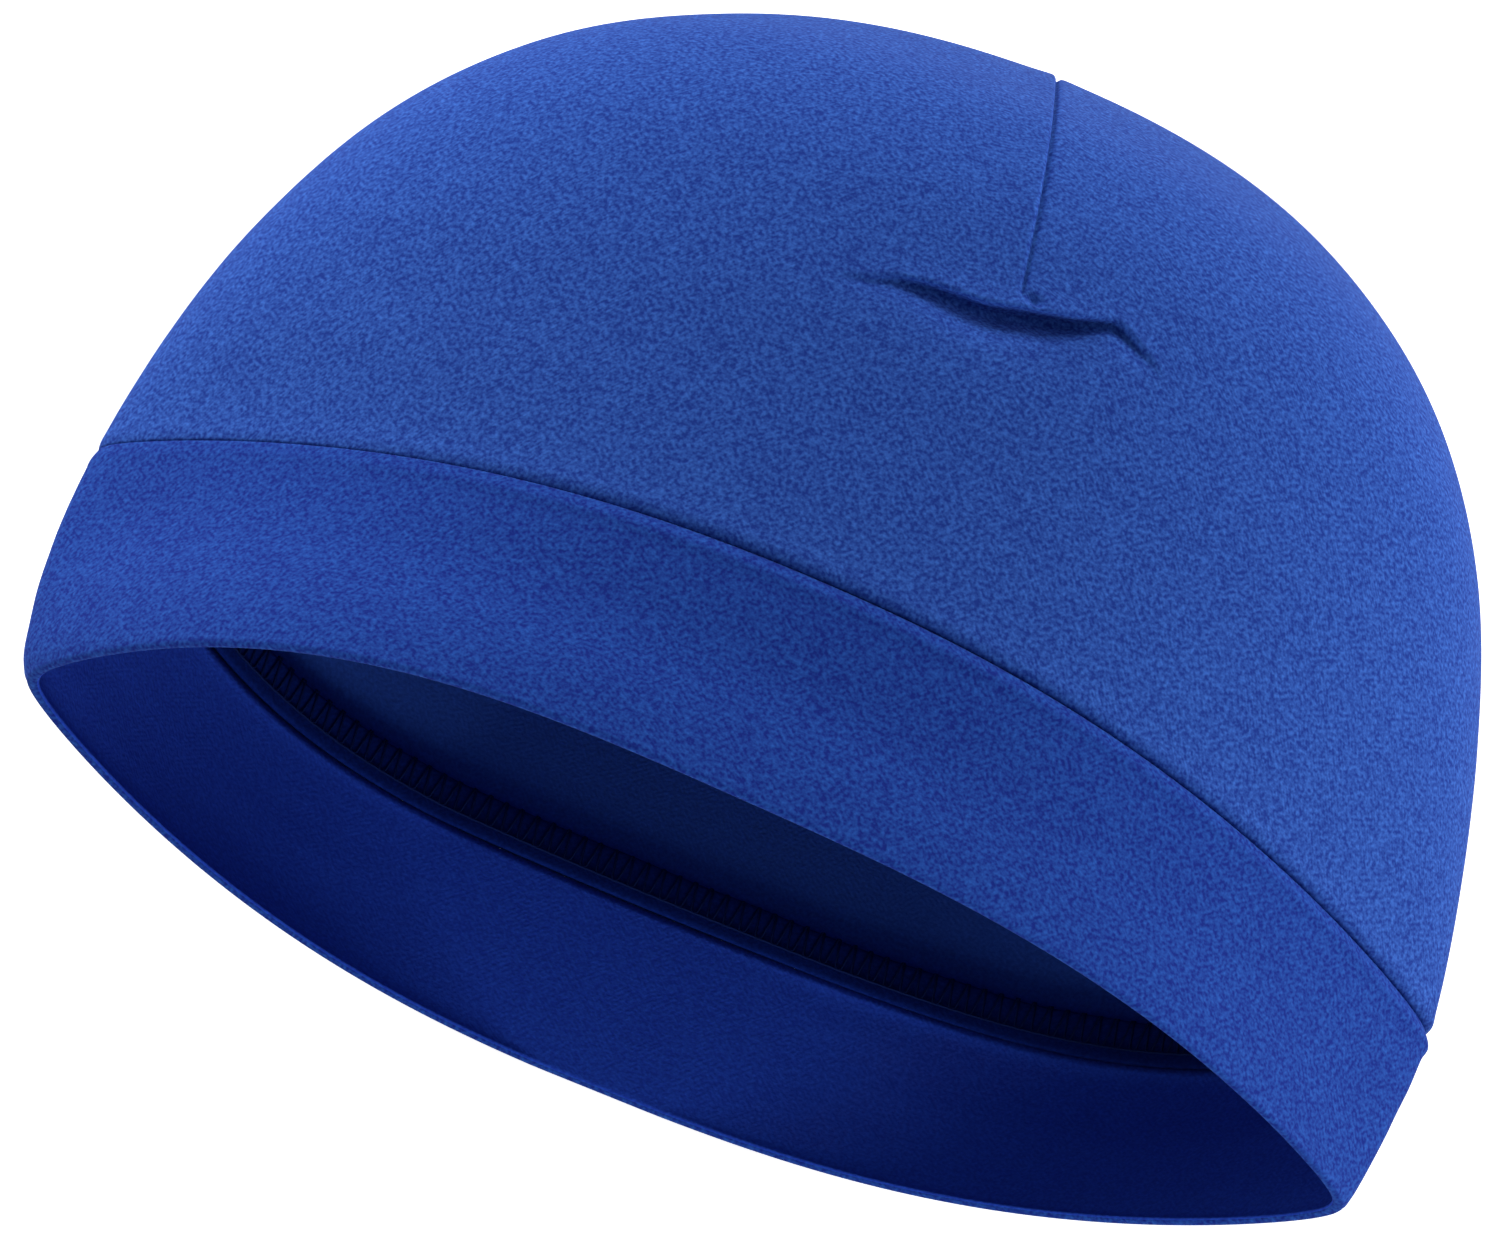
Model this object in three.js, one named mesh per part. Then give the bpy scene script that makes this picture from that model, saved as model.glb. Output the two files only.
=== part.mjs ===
// A close-fitting jersey skull cap, empty and lying on its back with its opening spread.
// X runs across the opening, +Y from the rim to the crown's top, +Z up from the surface it lies on.
import * as THREE from "three";

// Driving dimensions, in millimetres
const CROWN_THICKNESS = 1.1; // one layer of brushed jersey
const BAND_THICKNESS = 1.4; // the band is the jersey folded double and pressed flat
const ALLOWANCE_THICKNESS = 1.2; // the overlocked edges inside the band seam
const ALLOWANCE_WIDTH = 6.5;
const GAP = 0.3; // between pieces
const REST_DEPTH = 48.5; // from the corners of the opening down to the surface
const CORNER_INSET = 1.35; // how much faster a wall eats into a pointed corner than into a side

// Cross-sections from the rim to the crown's top, a row for each. A row's number is its rank.
// y: distance from the rim. halfWidth, upper, lower: reach to the sides, up and down.
// roundness: 0 for pointed corners, 1 for an ellipse. upperFlat, lowerFlat: 2 is plain, more is flatter.
// lean: shift to +X. skew: fuller upper side at -X. slant: left side ahead of the right. dip: lower side behind.
const COLUMNS = [
  "y", "halfWidth", "upper", "lower", "roundness", "upperFlat", "lowerFlat", "lean", "skew", "slant", "dip",
];
const SECTIONS = [
  [0, 97.5, 41.7, 48.6, 0.15, 2.9, 2.5, 0.2, 0.16, 0, 0],
  [5, 99.1, 42.1, 48.9, 0.11, 2.8, 2.8, -0.4, 0.13, 0.5, 0.6],
  [17, 101, 42.8, 49, 0.11, 2.55, 3.4, -0.8, 0.06, 1.8, 2.2],
  [35, 101.8, 44.4, 48.9, 0.12, 2.2, 4.2, -0.3, -0.03, 3.7, 4.5],
  [56.5, 99.8, 47.2, 49.6, 0.45, 2.15, 3.1, -0.4, -0.03, 3.1, 3],
  [78, 95.5, 50.5, 49.6, 0.72, 2.1, 2.7, -0.2, -0.02, 2.4, 1.8],
  [100, 88.1, 50.8, 49, 0.92, 2.05, 2.3, 0.6, -0.02, 1.7, 0.9],
  [119, 76.9, 44.9, 44.5, 1, 2, 2, 1.8, -0.01, 1.1, 0.4],
  [135, 62.1, 33.1, 36.2, 1, 2, 2, 3.2, -0.01, 0.6, 0.1],
  [147, 44.8, 21.1, 25.4, 1, 2, 2, 4.4, 0, 0.3, 0],
  [153.6, 23.8, 10.5, 12.2, 1, 2, 2, 5.1, 0, 0.1, 0],
  [155.4, 0, 0, 0, 1, 2, 2, 5.3, 0, 0, 0],
];
const LOWER_SKEW = 0.03;
const SEAM_RANK = 3; // the seam between band and crown
const TOP_RANK = SECTIONS.length - 1;
const REACHES = ["halfWidth", "upper", "lower"]; // these change sign past the crown's top

// Seams of the four petals that close the crown, as grooves that run up to its top
const PETAL_SEAM_COLUMNS = ["angle", "startRank"];
const PETAL_SEAMS = [
  [0, 6],
  [90, 5.4],
  [180, 6],
  [270, 5.6],
];
const GROOVE_DEPTH = 0.6;
const GROOVE_HALF_ANGLE = 1.2; // degrees
const GROOVE_FADE = { before: 0.1, after: 0.5 }; // ranks over which a groove deepens at its start
const DART_LEAN = { endRank: 5.34, level: 8, atLevel: 1, perRank: 2 }; // degrees that the front dart turns right

// The pucker across the end of the front dart: its crease in x and y, and how deep it is there
const CREASE_COLUMNS = ["x", "y", "depth"];
const CREASE = [
  [-14, 79, 0],
  [-8, 79.8, 0.5],
  [-1, 80.4, 1.3],
  [7, 81, 2.2],
  [14, 82.8, 2.5],
  [19, 84.6, 2.1],
  [24, 87.2, 1.3],
  [29, 85.4, 0.6],
  [34, 83, 0],
];
const CREASE_HALF_WIDTH = 2.2;
const RIDGE = { offset: 4.4, halfWidth: 3, share: 0.3 }; // the cloth that stands up above the crease

// The seam between band and crown pulls both walls in, and the band is hollow below it
const SEAM_PINCH = { depth: 0.35, halfWidth: 1.1 };
const BAND_HOLLOW = { depth: 0.5, distance: 6, halfWidth: 3.5 };

const BLUE = 0x2b4c9f;
const NAVY = 0x0b1538;

const radians = THREE.MathUtils.degToRad;
const bump = (distance, halfWidth) => Math.exp(-((distance / halfWidth) ** 2));

function rowOf(columns, values) {
  return Object.fromEntries(columns.map((name, i) => [name, values[i]]));
}

// The row of a section table at any rank, on a smooth curve through the rows.
// The rows are mirrored past the crown's top, which makes it round.
const rows = SECTIONS.map((values) => rowOf(COLUMNS, values));

function rowBeyond(rank) {
  if (rank <= TOP_RANK && rank >= 0) {
    return rows[rank];
  }
  const mirrored = { ...rows[rank < 0 ? 1 : TOP_RANK - 1] };
  if (rank < 0) {
    for (const name of COLUMNS) {
      mirrored[name] = 2 * rows[0][name] - mirrored[name];
    }
  } else {
    for (const name of REACHES) {
      mirrored[name] = -mirrored[name];
    }
  }
  return mirrored;
}

function sectionAt(rank) {
  const low = Math.min(Math.floor(rank), TOP_RANK - 1);
  const t = rank - low;
  const [before, start, end, after] = [-1, 0, 1, 2].map((step) => rowBeyond(low + step));
  const section = {};
  for (const name of COLUMNS) {
    const linear = end[name] - before[name];
    const square = 2 * before[name] - 5 * start[name] + 4 * end[name] - after[name];
    const cube = 3 * start[name] - before[name] - 3 * end[name] + after[name];
    section[name] = start[name] + 0.5 * t * (linear + t * (square + t * cube));
  }
  return section;
}

// The front dart leans to the right on its way down, and the columns of the mesh follow it
function leaningAngle(rank, column) {
  const side = Math.max(0, Math.sin(radians(column))) ** 2;
  const { endRank, level, atLevel, perRank } = DART_LEAN;
  const lean = atLevel + perRank * (level - Math.max(rank, endRank));
  const fade = THREE.MathUtils.smoothstep(rank, SEAM_RANK, endRank);
  return radians(column - lean * side * fade);
}

// A point of the smooth wall, inset mm inside its outer face. Column is the angle round the section in degrees.
function wallPoint(rank, column, inset = 0) {
  const section = sectionAt(rank);
  const angle = leaningAngle(rank, column);
  const [cos, sin] = [Math.cos(angle), Math.sin(angle)];
  const above = sin > 0;
  const flat = above ? section.upperFlat : section.lowerFlat;
  const share = Math.max(0, 1 - Math.abs(cos) ** flat);
  const shape = Math.sqrt(share * (section.roundness + (1 - section.roundness) * share));
  const upper = (section.upper - inset) * (1 - section.skew * cos) * shape;
  const lower = (section.lower - inset) * (1 - LOWER_SKEW * cos) * shape;
  const slant = section.slant * cos * (above ? 1 : cos ** 2);
  const dip = above ? 0 : section.dip * sin ** 2;
  return new THREE.Vector3(
    section.lean + (section.halfWidth - CORNER_INSET * inset) * cos,
    section.y - slant - dip,
    above ? upper : -lower,
  );
}

function wallNormal(rank, column) {
  const step = 0.02;
  const along = wallPoint(Math.min(rank + step, TOP_RANK), column).sub(wallPoint(rank - step, column));
  const round = wallPoint(rank, column + 1).sub(wallPoint(rank, column - 1));
  return along.cross(round).normalize();
}

function restOnSurface(point, inset = 0) {
  point.z = Math.max(point.z, inset - REST_DEPTH);
  return point;
}

// How far the crown's face stands out (+) or in (-) of the smooth wall
function grooveRelief(rank, column) {
  let relief = 0;
  for (const values of PETAL_SEAMS) {
    const seam = rowOf(PETAL_SEAM_COLUMNS, values);
    const turn = Math.abs(((column - seam.angle + 540) % 360) - 180);
    const { before, after } = GROOVE_FADE;
    const fade = THREE.MathUtils.smoothstep(rank, seam.startRank - before, seam.startRank + after);
    relief -= GROOVE_DEPTH * fade * Math.max(0, 1 - turn / GROOVE_HALF_ANGLE);
  }
  return relief;
}

function puckerRelief(point) {
  const crease = CREASE.map((values) => rowOf(CREASE_COLUMNS, values));
  const next = crease.findIndex((mark) => mark.x > point.x);
  if (point.z < 0 || next < 1) {
    return 0;
  }
  const [left, right] = [crease[next - 1], crease[next]];
  const t = (point.x - left.x) / (right.x - left.x);
  const depth = THREE.MathUtils.lerp(left.depth, right.depth, t);
  const above = point.y - THREE.MathUtils.lerp(left.y, right.y, t);
  const ridge = RIDGE.share * bump(above - RIDGE.offset, RIDGE.halfWidth);
  return depth * (ridge - bump(above, CREASE_HALF_WIDTH));
}

function crownPoint(rank, column, inset) {
  const point = wallPoint(rank, column);
  const seam = wallPoint(SEAM_RANK, column);
  const pinch = SEAM_PINCH.depth * bump(point.y - seam.y, SEAM_PINCH.halfWidth);
  const relief = grooveRelief(rank, column) + puckerRelief(point) - pinch;
  point.addScaledVector(wallNormal(rank, column), relief - inset);
  return restOnSurface(point, inset);
}

function bandPoint(rank, column, inset) {
  const seam = wallPoint(SEAM_RANK, column);
  const below = seam.y - wallPoint(rank, column).y;
  const pinch = SEAM_PINCH.depth * bump(below, SEAM_PINCH.halfWidth);
  const near = Math.max(0, Math.sin(radians(column)));
  const hollow = BAND_HOLLOW.depth * near * bump(below - BAND_HOLLOW.distance, BAND_HOLLOW.halfWidth);
  return restOnSurface(wallPoint(rank, column, inset + pinch + hollow), inset);
}

// Joins rings of points, each to the next and the last to the first, into one closed body.
// A ring of one point is a pole.
function bodyFromRings(rings) {
  const starts = [];
  const positions = [];
  for (const ring of rings) {
    starts.push(positions.length / 3);
    ring.forEach((point) => positions.push(point.x, point.y, point.z));
  }
  const faces = [];
  rings.forEach((ring, i) => {
    const next = (i + 1) % rings.length;
    const count = Math.max(ring.length, rings[next].length);
    for (let j = 0; j < count && ring.length + rings[next].length > 2; j += 1) {
      const k = (j + 1) % count;
      const [a, b] = [starts[i] + (j % ring.length), starts[i] + (k % ring.length)];
      const [c, d] = [starts[next] + (j % rings[next].length), starts[next] + (k % rings[next].length)];
      if (c !== d) {
        faces.push(a, c, d);
      }
      if (a !== b) {
        faces.push(a, d, b);
      }
    }
  });
  const geometry = new THREE.BufferGeometry();
  geometry.setAttribute("position", new THREE.Float32BufferAttribute(positions, 3));
  geometry.setIndex(faces);
  geometry.computeVertexNormals();
  return geometry;
}

// Even steps from one value to another, with both ends
function steps(from, to, count) {
  return Array.from({ length: count + 1 }, (_, i) => from + ((to - from) * i) / Math.max(count, 1));
}

// Rings of the mesh, as ranks in even steps: close together at the band seam and at the pucker
const RING_COLUMNS = ["from", "to", "count"];
const CROWN_RINGS = [
  [3.45, 4.85, 4],
  [4.93, 5.58, 10],
  [5.8, 8.8, 7],
  [9.2, 10.6, 4],
];
const BAND_OUTSIDE_RINGS = [
  [0.25, 2.4, 4],
  [2.67, 2.93, 2],
];
const BAND_INSIDE_RINGS = [
  [0.25, 2.4, 3],
  [2.8, 2.8, 0],
];

function ranksOf(rings) {
  return rings.flatMap((values) => {
    const { from, to, count } = rowOf(RING_COLUMNS, values);
    return steps(from, to, count);
  });
}

// Columns of the mesh, in degrees: close together at the front dart and its pucker, and at each petal seam
const FRONT_COLUMNS = [-22, -17, -13, -9, -5.5, -3, -GROOVE_HALF_ANGLE, 0, GROOVE_HALF_ANGLE, 3.5, 7, 11];
const sideColumns = steps(105, 420, 42);
const grooveColumns = [180, 270, 360].flatMap((angle) => [angle - GROOVE_HALF_ANGLE, angle + GROOVE_HALF_ANGLE]);
const columns = [...FRONT_COLUMNS.map((turn) => 90 + turn), ...sideColumns, ...grooveColumns];
columns.sort((a, b) => a - b);

const ringOf = (point) => columns.map(point);

// The crown, from its edge at the seam up the outside and back down the inside
const crownStep = SECTIONS[SEAM_RANK + 1][0] - SECTIONS[SEAM_RANK][0];
const crownEdge = SEAM_RANK + GAP / 2 / crownStep;
const crownRanks = [...steps(crownEdge, SEAM_RANK + 0.12, 2), ...ranksOf(CROWN_RINGS)];
const crownOutside = crownRanks.map((rank) => ringOf((column) => crownPoint(rank, column, 0)));
const crownInside = crownRanks.map((rank) => ringOf((column) => crownPoint(rank, column, CROWN_THICKNESS)));
const top = wallPoint(TOP_RANK, 0);
const crownGeometry = bodyFromRings([
  ...crownOutside,
  [top.clone().setY(top.y - GROOVE_DEPTH)],
  [top.clone().setY(top.y - GROOVE_DEPTH - CROWN_THICKNESS)],
  ...crownInside.reverse(),
]);

// The band, from the seam down the outside, round the fold at the rim and up the inside
const bandStep = SECTIONS[SEAM_RANK][0] - SECTIONS[SEAM_RANK - 1][0];
const bandEdge = SEAM_RANK - GAP / 2 / bandStep;
const bandRanks = [...ranksOf(BAND_OUTSIDE_RINGS), bandEdge];
const foldRadius = BAND_THICKNESS / 2;
const foldAt = (turn) => {
  const inset = foldRadius * (1 - Math.cos(radians(turn)));
  const rise = foldRadius * (1 - Math.sin(radians(turn)));
  return ringOf((column) => {
    const point = wallPoint(0, column, inset);
    point.y += rise;
    return restOnSurface(point, inset);
  });
};
const bandOutside = bandRanks.map((rank) => ringOf((column) => bandPoint(rank, column, 0)));
const insideRanks = [...ranksOf(BAND_INSIDE_RINGS), bandEdge];
const bandInside = insideRanks.map((rank) => ringOf((column) => bandPoint(rank, column, BAND_THICKNESS)));
const bandGeometry = bodyFromRings([
  ...bandInside.reverse(),
  ...[180, 135, 90, 45, 0].map(foldAt),
  ...bandOutside,
]);

// The seam allowance lies folded up against the inside of the crown, on the band's edge
const allowanceOuter = CROWN_THICKNESS + SEAM_PINCH.depth + GAP;
const allowanceInner = allowanceOuter + ALLOWANCE_THICKNESS;
const allowanceStart = crownEdge + GAP / 2 / crownStep;
const allowanceRanks = steps(allowanceStart, allowanceStart + ALLOWANCE_WIDTH / crownStep, 2);
const allowanceRing = (rank, inset) => ringOf((column) => restOnSurface(wallPoint(rank, column, inset), inset));
const allowanceGeometry = bodyFromRings([
  ...allowanceRanks.map((rank) => allowanceRing(rank, allowanceOuter)),
  ...allowanceRanks.toReversed().map((rank) => allowanceRing(rank, allowanceInner)),
]);

function jersey(colour) {
  return new THREE.MeshStandardMaterial({ color: colour, roughness: 0.85, metalness: 0 });
}

function piece(name, geometry, material) {
  const mesh = new THREE.Mesh(geometry, material);
  mesh.name = name;
  return mesh;
}

const cap = new THREE.Group();
cap.add(piece("crown", crownGeometry, jersey(BLUE)));
cap.add(piece("band", bandGeometry, jersey(BLUE)));
cap.add(piece("seam_allowance", allowanceGeometry, jersey(NAVY)));

// The origin is under the middle of the cap, on the surface it lies on
const box = new THREE.Box3().setFromObject(cap);
const middle = box.getCenter(new THREE.Vector3());
cap.position.set(-middle.x, -middle.y, -box.min.z);
cap.updateMatrixWorld(true);

export default cap;
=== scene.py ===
"""A close-fitting skull cap of royal blue brushed jersey, in Blender.

The empty cap lies on its back on a pale floor, with its opening spread towards the camera. Its form is
worked out in millimetres in the cap's own frame: X across the opening, Y from the rim to the crown's top,
Z up, with Z 0 at the corners of the opening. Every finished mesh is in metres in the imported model's frame.
"""

import logging
import math
from dataclasses import dataclass
from enum import Enum
from typing import Any

import bmesh
import bpy
import numpy as np
from mathutils import Matrix, Vector, noise


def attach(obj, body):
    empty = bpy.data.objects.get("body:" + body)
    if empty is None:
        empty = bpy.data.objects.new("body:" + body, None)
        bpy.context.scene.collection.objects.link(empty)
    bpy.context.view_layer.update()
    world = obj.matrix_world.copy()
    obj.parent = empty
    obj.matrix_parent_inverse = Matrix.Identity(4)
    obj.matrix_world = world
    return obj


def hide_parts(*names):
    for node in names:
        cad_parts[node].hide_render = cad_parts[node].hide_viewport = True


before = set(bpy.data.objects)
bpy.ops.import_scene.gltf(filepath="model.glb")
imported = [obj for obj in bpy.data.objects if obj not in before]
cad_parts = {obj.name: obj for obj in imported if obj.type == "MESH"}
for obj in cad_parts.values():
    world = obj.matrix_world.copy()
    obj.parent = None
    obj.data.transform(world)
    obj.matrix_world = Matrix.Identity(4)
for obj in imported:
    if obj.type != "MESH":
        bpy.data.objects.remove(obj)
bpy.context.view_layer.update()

LOG = logging.getLogger("skull_cap")

MM = 0.001  # metres in a millimetre
ROOT_BODY = "root"
UV_MAP = "knit"

PHOTO_WIDTH = 1500  # pixels
PHOTO_HEIGHT = 1235

FRONT = 90.0  # the column of the front dart, in degrees
QUARTERS = 4
QUARTER = 90.0  # degrees from one dart to the next
POLE = -1  # stands for the column of a pole, which has none

Pair = tuple[float, float]  # the ends of a range, or a place or size on two axes


class Face(Enum):
    """The two sides of the cloth, which are also the material slots of crown and band."""

    OUTSIDE = 0
    INSIDE = 1


class Closure(Enum):
    """How a wall built ring by ring is closed."""

    POLES = "a pole at both ends"
    RING = "the last ring sewn to the first"


def smoothstep(value: np.ndarray | float, low: float, high: float) -> np.ndarray:
    """Returns 0 below low and 1 above high, with a smooth rise between them."""
    share = np.clip((value - low) / (high - low), 0, 1)
    return share * share * (3 - 2 * share)


def turn_from(start: float, angle: np.ndarray | float) -> np.ndarray | float:
    """Returns the turn from start to the angle, from -180 up to 180 degrees."""
    return (angle - start + 180) % 360 - 180


@dataclass(frozen=True)
class Hump:
    """A smooth hump across a line of the cloth.

    Args:
        height: how high it is in its middle.
        half_width: the distance from its middle at which about a third of the height is left.
        middle: how far its middle is from the line.
    """

    height: float
    half_width: float
    middle: float = 0.0

    def __call__(self, distance: np.ndarray) -> np.ndarray:
        """Returns the hump's height at a distance from the line."""
        return self.height * np.exp(-(((distance - self.middle) / self.half_width) ** 2))


@dataclass(frozen=True)
class Swells:
    """The soft unevenness of the cloth, the same each run.

    Args:
        height: how far it rises and sinks, in millimetres.
        length: the distance from one swell to the next.
        seed: moves the pattern, so that no two are alike.
        squeeze: how closely the swells follow each other along each axis.
    """

    height: float
    length: float
    seed: float
    squeeze: tuple[float, float, float] = (1.0, 1.0, 1.0)

    def __call__(self, points: np.ndarray) -> np.ndarray:
        """Returns the swells.

        Args:
            points: where, in millimetres.

        Returns:
            The height of the cloth at each point.
        """
        shift = Vector((self.seed, 2 * self.seed, -self.seed))
        spots = (Vector(point) / self.length + shift for point in points * np.array(self.squeeze))
        return self.height * np.array([noise.noise(spot) for spot in spots])


@dataclass(frozen=True)
class Table:
    """A line through a few marks, with its corners rounded.

    Args:
        at: where the marks are.
        values: the line's value at each mark.
        blur: how far from a corner its rounding starts.
        samples: how many shifted copies of the line are averaged to round it.
    """

    at: tuple[float, ...]
    values: tuple[float, ...]
    blur: float
    samples: int = 7

    def __call__(self, x: np.ndarray) -> np.ndarray:
        """Returns the line's value at x."""
        shifts = self.blur * np.linspace(-1, 1, self.samples)
        return np.mean([np.interp(x + shift, self.at, self.values) for shift in shifts], axis=0)


@dataclass(frozen=True)
class Spacing:
    """How far apart the rings of a wall are, in millimetres.

    Args:
        plain: the distance where nothing asks for less.
        zones: the closer stretches, each with its two ends, in millimetres from the rim, and its distance.
    """

    plain: float
    zones: tuple[tuple[float, float, float], ...] = ()

    def __call__(self, from_rim: float) -> float:
        """Returns the distance wanted between rings at a distance from the rim."""
        return next((close for low, high, close in self.zones if low < from_rim < high), self.plain)


@dataclass(frozen=True)
class CapForm:
    """The smooth form of the cap, from its cross-sections.

    A row's number is its rank: 0 at the rim, 3 at the band's seam and 11 at the crown's top. Its columns are
    the distance from the rim, the reach to the sides, up and down, the roundness (0 for pointed corners, 1
    for an ellipse), the flatness of the upper and lower side (2 is plain), the shift to +X, the fuller
    upper side at -X, how far the left side is ahead of the right, and how far the lower side is behind.
    """

    sections: tuple[tuple[float, ...], ...] = (
        (0, 97.5, 41.7, 48.6, 0.15, 2.9, 2.5, 0.2, 0.16, 0, 0),
        (5, 99.1, 42.1, 48.9, 0.11, 2.8, 2.8, -0.4, 0.13, 0.5, 0.6),
        (17, 101, 42.8, 49, 0.11, 2.55, 3.4, -0.8, 0.06, 1.8, 2.2),
        (35, 101.8, 44.4, 48.9, 0.12, 2.2, 4.2, -0.3, -0.03, 3.7, 4.5),
        (56.5, 99.8, 47.2, 49.6, 0.45, 2.15, 3.1, -0.4, -0.03, 3.1, 3),
        (78, 95.5, 50.5, 49.6, 0.72, 2.1, 2.7, -0.2, -0.02, 2.4, 1.8),
        (100, 88.1, 50.8, 49, 0.92, 2.05, 2.3, 0.6, -0.02, 1.7, 0.9),
        (119, 76.9, 44.9, 44.5, 1, 2, 2, 1.8, -0.01, 1.1, 0.4),
        (135, 62.1, 33.1, 36.2, 1, 2, 2, 3.2, -0.01, 0.6, 0.1),
        (147, 44.8, 21.1, 25.4, 1, 2, 2, 4.4, 0, 0.3, 0),
        (153.6, 23.8, 10.5, 12.2, 1, 2, 2, 5.1, 0, 0.1, 0),
        (155.4, 0, 0, 0, 1, 2, 2, 5.3, 0, 0, 0),
    )
    lower_skew: float = 0.03
    seam_rank: float = 3.0
    rest_depth: float = 48.5  # from the corners of the opening down to the surface that the cap lies on
    corner_inset: float = 1.35  # how much faster a wall eats into a pointed corner than into a side
    # The front dart leans to the right on its way down, to where it ends. The lean is in degrees
    lean_end_rank: float = 5.34
    lean_level: float = 8.0
    lean_at_level: float = 1.0
    lean_per_rank: float = 2.0
    # The band's seam is slack at the left corner. The range is of the cosine of the column
    slack_pull: float = 0.35
    slack_range: Pair = (-0.8, -0.1)
    # Where the distance between rings is measured: columns, and rings for each rank
    probes: tuple[float, ...] = (2.0, 45, 90, 135, 178, 225, 270, 315)
    probes_per_rank: int = 150
    origin: tuple[float, float, float] = (0.388, -77.595, 48.5)  # the rim's middle in the model's frame

    @property
    def top_rank(self) -> int:
        """The rank of the crown's top."""
        return len(self.sections) - 1

    def _row(self, rank: int) -> np.ndarray:
        """Returns a row of the table, which goes on past both its ends.

        Args:
            rank: the rank of the row.

        Returns:
            The row, continued past the rim and mirrored past the top, where the reaches change sign.
        """
        rows = np.array(self.sections, float)
        if rank < 0:
            return 2 * rows[0] - rows[1]
        if rank > self.top_rank:
            reaches = slice(1, 4)
            mirrored = rows[self.top_rank - 1].copy()
            mirrored[reaches] *= -1
            return mirrored
        return rows[rank]

    def section(self, rank: float) -> np.ndarray:
        """Returns the section at any rank.

        Args:
            rank: the rank, which may lie between two rows.

        Returns:
            The section's row, on a smooth curve through the rows of the table.
        """
        low = min(math.floor(rank), self.top_rank - 1)
        t = rank - low
        before, start, end, after = (self._row(low + step) for step in (-1, 0, 1, 2))
        square = 2 * before - 5 * start + 4 * end - after
        cube = 3 * start - before - 3 * end + after
        return start + 0.5 * t * (end - before + t * (square + t * cube))

    def from_rim(self, rank: float) -> float:
        """Returns the distance from the rim to the section at a rank."""
        return self.section(rank)[0]

    def rank_near_seam(self, height: float, side: int = 1) -> float:
        """Returns the rank at a height above the seam, by the row on one side of it (1 above, -1 below)."""
        row_distance = abs(self.from_rim(self.seam_rank + side) - self.from_rim(self.seam_rank))
        return self.seam_rank + height / row_distance

    def angle(self, rank: float, columns: np.ndarray) -> np.ndarray:
        """Returns the angle of each column, which leans to the right towards the end of the front dart.

        Args:
            rank: the rank of the ring.
            columns: the columns in degrees, 90 along the front dart.

        Returns:
            The angles round the section, in radians.
        """
        side = np.maximum(0, np.sin(np.radians(columns))) ** 2
        lean = self.lean_at_level + self.lean_per_rank * (self.lean_level - max(rank, self.lean_end_rank))
        return np.radians(columns - lean * side * smoothstep(rank, self.seam_rank, self.lean_end_rank))

    def wall(self, rank: float, columns: np.ndarray, inset: np.ndarray | float = 0.0) -> np.ndarray:
        """Returns a ring of points of the smooth wall.

        Args:
            rank: the rank of the ring.
            columns: the columns in degrees.
            inset: how far inside the outer face, in millimetres.

        Returns:
            One point for each column.
        """
        y, half_width, up, down, roundness, up_flat, down_flat, lean, skew, slant, dip = self.section(rank)
        angle = self.angle(rank, columns)
        cos, sin = np.cos(angle), np.sin(angle)
        above = sin > 0
        share = np.maximum(0, 1 - np.abs(cos) ** np.where(above, up_flat, down_flat))
        shape = np.sqrt(share * (roundness + (1 - roundness) * share))
        upper = (up - inset) * (1 - skew * cos) * shape
        lower = (down - inset) * (1 - self.lower_skew * cos) * shape
        return np.stack(
            [
                lean + (half_width - self.corner_inset * inset) * cos,
                y - slant * cos * np.where(above, 1, cos**2) - np.where(above, 0, dip * sin**2),
                np.where(above, upper, -lower),
            ],
            axis=1,
        )

    def normal(self, rank: float, columns: np.ndarray) -> np.ndarray:
        """Returns the outward direction of the smooth wall.

        Args:
            rank: the rank of the ring.
            columns: the columns in degrees.

        Returns:
            One direction for each column, of length 1.
        """
        step, turn = 0.02, 1.0
        along = self.wall(min(rank + step, self.top_rank), columns) - self.wall(rank - step, columns)
        around = self.wall(rank, columns + turn) - self.wall(rank, columns - turn)
        across = np.cross(along, around)
        return across / np.linalg.norm(across, axis=1, keepdims=True)

    def seam_pull(self, columns: np.ndarray) -> np.ndarray:
        """Returns how tight the band's seam is drawn, from 1 down to the slack of the left corner."""
        tight = smoothstep(np.cos(np.radians(columns)), *self.slack_range)
        return self.slack_pull + (1 - self.slack_pull) * tight

    def rest(self, points: np.ndarray, inset: float = 0.0) -> np.ndarray:
        """Returns the points, none of them below the surface on which the cap lies."""
        return np.column_stack([points[:, :2], np.maximum(points[:, 2], inset - self.rest_depth)])

    def ranks(self, start: float, end: float, spacing: Spacing) -> list[float]:
        """Returns the ranks of the rings of a wall.

        Args:
            start: the first rank.
            end: the last rank.
            spacing: the distance wanted between rings.

        Returns:
            The ranks, with both ends.
        """
        fine = np.linspace(start, end, max(2, int(abs(end - start) * self.probes_per_rank)))
        rings = np.array([self.wall(rank, np.array(self.probes)) for rank in fine])
        apart = np.linalg.norm(np.diff(rings, axis=0), axis=2).max(axis=1)
        wanted = np.array([spacing(self.from_rim(rank)) for rank in (fine[1:] + fine[:-1]) / 2])
        passed = np.concatenate([[0], np.cumsum(apart / wanted)])
        return list(np.interp(np.linspace(0, passed[-1], max(2, round(passed[-1]) + 1)), passed, fine))

    def place(self, points: np.ndarray) -> np.ndarray:
        """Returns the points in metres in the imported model's frame."""
        return (points + np.array(self.origin)) * MM


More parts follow.
